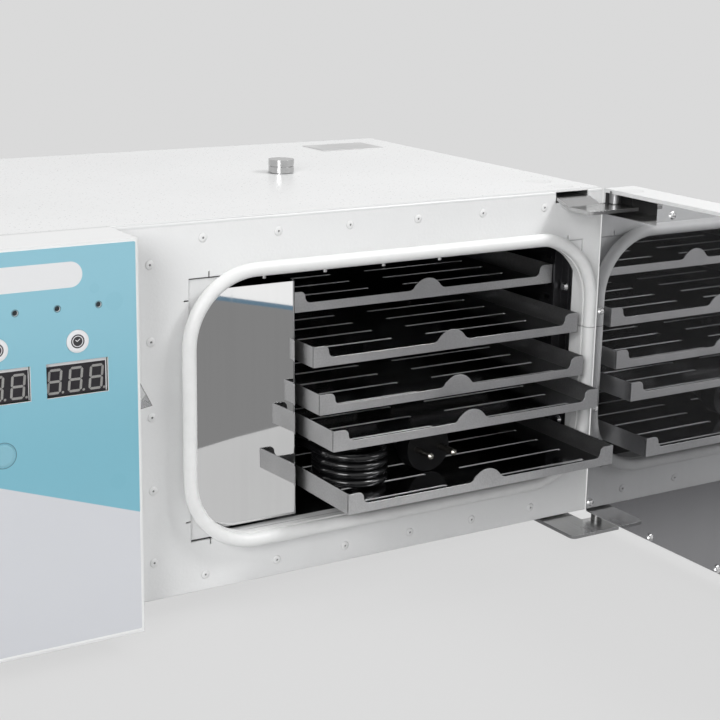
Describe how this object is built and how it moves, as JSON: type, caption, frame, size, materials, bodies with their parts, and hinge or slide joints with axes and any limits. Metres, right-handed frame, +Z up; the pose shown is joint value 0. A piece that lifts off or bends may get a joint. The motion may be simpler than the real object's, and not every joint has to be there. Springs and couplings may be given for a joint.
{
  "type": "dry heat sterilizer",
  "caption": "Benchtop dry heat sterilizer with a side-hinged mirror-lined door, slotted trays on rails, a fan-stirred chamber and a control box with two digital displays.",
  "frame": {"origin": "under the middle of the object's footprint, on the surface that the feet stand on, with the door at rest in its open place", "axes": "+Z up, -Y the way that the front faces, +X towards the hinge side"},
  "size_m": [0.554, 0.7084, 0.2701],
  "materials": {
    "white_paint": "fine textured white powder coat",
    "stainless": "satin stainless sheet",
    "bright_steel": "bright plated steel",
    "mirror": "polished stainless sheet",
    "silicone": "white silicone",
    "wool": "mineral wool",
    "film": "printed satin film",
    "display": "dark glossy display face",
    "board": "circuit board",
    "key_white": "smooth white plastic",
    "key_blue": "smooth light blue film",
    "dark_steel": "dark heat-blued steel",
    "rubber": "black rubber",
    "black_plastic": "black moulded plastic",
    "cord": "glossy black sheath",
    "grey_plate": "bare grey plate"
  },
  "bodies": {
    "case": {"case_cover": "white_paint", "base_plate": "white_paint", "rear_panel": "white_paint", "rear_screws": "bright_steel", "front_face": "white_paint", "face_rivets": "white_paint", "door_collar": "white_paint", "collar_gasket": "silicone", "chamber_liner": "stainless", "chamber_insulation": "wool", "bulkhead": "stainless", "heater_cover": "mirror", "chamber_screws": "bright_steel", "tray_uprights": "stainless", "tray_rails": "stainless", "heating_element": "dark_steel", "temperature_probe": "stainless", "fan_motor": "dark_steel", "vent_tube": "stainless", "top_plate": "grey_plate", "control_box": "white_paint", "control_film": "film", "control_board": "board", "display_left": "display", "display_right": "display", "indicator_lights": "display", "catch_spring": "bright_steel", "hinge_strap_top": "stainless", "hinge_strap_bottom": "stainless", "hinge_pin_top": "bright_steel", "hinge_pin_bottom": "bright_steel", "strap_bolts": "bright_steel", "feet": "rubber", "foot_screws": "bright_steel", "power_inlet": "black_plastic"},
    "fan": {"fan_wheel": "stainless"},
    "cap": {"vent_cap": "bright_steel"},
    "left_key": {"left_key": "key_white"},
    "right_key": {"right_key": "key_white"},
    "program_key": {"program_key": "key_blue"},
    "rocker": {"power_switch": "black_plastic"},
    "tray_1": {"tray_1": "stainless"},
    "tray_2": {"tray_2": "stainless"},
    "tray_3": {"tray_3": "stainless"},
    "tray_4": {"tray_4": "stainless"},
    "tray_5": {"tray_5": "stainless", "cord_coil": "cord", "plug_lead": "cord", "connector_lead": "cord", "mains_plug": "black_plastic", "appliance_connector": "black_plastic"},
    "door": {"door_shell": "white_paint", "door_insulation": "wool", "door_mirror": "mirror", "door_screws": "bright_steel", "door_bushes": "bright_steel", "door_handle": "bright_steel", "handle_screws": "bright_steel"}
  },
  "joints": [
    {"name": "door_hinge", "type": "hinge", "parent": "case", "child": "door", "pos_m": [0.224, 0.0206, 0.135], "axis": [0, 0, 1], "range_deg": [-90, 0]},
    {"name": "fan_spin", "type": "hinge", "parent": "case", "child": "fan", "pos_m": [-0.0866, 0.1822, 0.1365], "axis": [1, 0, 0], "continuous": true},
    {"name": "vent_cap_lift", "type": "slide", "parent": "case", "child": "cap", "axis": [0, 0, 1], "range_m": [0, 0.03]},
    {"name": "left_key_press", "type": "slide", "parent": "case", "child": "left_key", "axis": [0, 1, 0], "range_m": [0, 0.0008], "stiffness_N_per_m": 600},
    {"name": "right_key_press", "type": "slide", "parent": "case", "child": "right_key", "axis": [0, 1, 0], "range_m": [0, 0.0008], "stiffness_N_per_m": 600},
    {"name": "program_key_press", "type": "slide", "parent": "case", "child": "program_key", "axis": [0, 1, 0], "range_m": [0, 0.0008], "stiffness_N_per_m": 600},
    {"name": "rocker_tilt", "type": "hinge", "parent": "case", "child": "rocker", "pos_m": [-0.199, 0.3508, 0.061], "axis": [1, 0, 0], "range_deg": [0, 16]},
    {"name": "tray_1_slide", "type": "slide", "parent": "case", "child": "tray_1", "axis": [0, -1, 0], "range_m": [0, 0.15]},
    {"name": "tray_2_slide", "type": "slide", "parent": "case", "child": "tray_2", "axis": [0, -1, 0], "range_m": [-0.0318, 0.15]},
    {"name": "tray_3_slide", "type": "slide", "parent": "case", "child": "tray_3", "axis": [0, -1, 0], "range_m": [-0.0407, 0]},
    {"name": "tray_4_slide", "type": "slide", "parent": "case", "child": "tray_4", "axis": [0, -1, 0], "range_m": [-0.0585, 0]},
    {"name": "tray_5_slide", "type": "slide", "parent": "case", "child": "tray_5", "axis": [0, -1, 0], "range_m": [-0.0785, 0]}
  ],
  "couplings": [
    {"joint": "tray_3_slide", "follows": "door_hinge", "m_per_rad": 0.025847},
    {"joint": "tray_4_slide", "follows": "door_hinge", "m_per_rad": 0.037179},
    {"joint": "tray_5_slide", "follows": "door_hinge", "m_per_rad": 0.049911}
  ]
}
